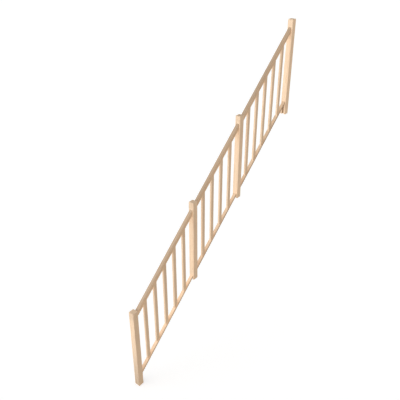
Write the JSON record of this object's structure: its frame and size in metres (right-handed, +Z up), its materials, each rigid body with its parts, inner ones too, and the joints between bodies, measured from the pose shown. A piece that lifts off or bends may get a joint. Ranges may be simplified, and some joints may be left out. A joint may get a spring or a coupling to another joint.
{
  "type": "stair balustrade panel",
  "caption": "Raked timber stair balustrade with square posts, a handrail and base rail in each bay, and flat upright balusters between them.",
  "frame": {"origin": "centre of the bottom newel post's foot, on the face that meets the floor", "axes": "+X up the flight in plan, +Y across the flight through the panel's thickness, +Z up"},
  "size_m": [2.95, 0.07, 3.7536],
  "materials": {
    "post_timber": "planed and sanded, unvarnished",
    "rail_timber": "planed and sanded, unvarnished",
    "baluster_timber": "planed and sanded, unvarnished"
  },
  "bodies": {
    "root": {"bottom_newel_post": "post_timber", "lower_middle_post": "post_timber", "upper_middle_post": "post_timber", "top_newel_post": "post_timber", "lower_base_rail": "rail_timber", "lower_handrail": "rail_timber", "lower_baluster_1": "baluster_timber", "lower_baluster_2": "baluster_timber", "lower_baluster_3": "baluster_timber", "lower_baluster_4": "baluster_timber", "lower_baluster_5": "baluster_timber", "middle_base_rail": "rail_timber", "middle_handrail": "rail_timber", "middle_baluster_1": "baluster_timber", "middle_baluster_2": "baluster_timber", "middle_baluster_3": "baluster_timber", "middle_baluster_4": "baluster_timber", "upper_base_rail": "rail_timber", "upper_handrail": "rail_timber", "upper_baluster_1": "baluster_timber", "upper_baluster_2": "baluster_timber", "upper_baluster_3": "baluster_timber", "upper_baluster_4": "baluster_timber", "upper_baluster_5": "baluster_timber"}
  },
  "joints": []
}
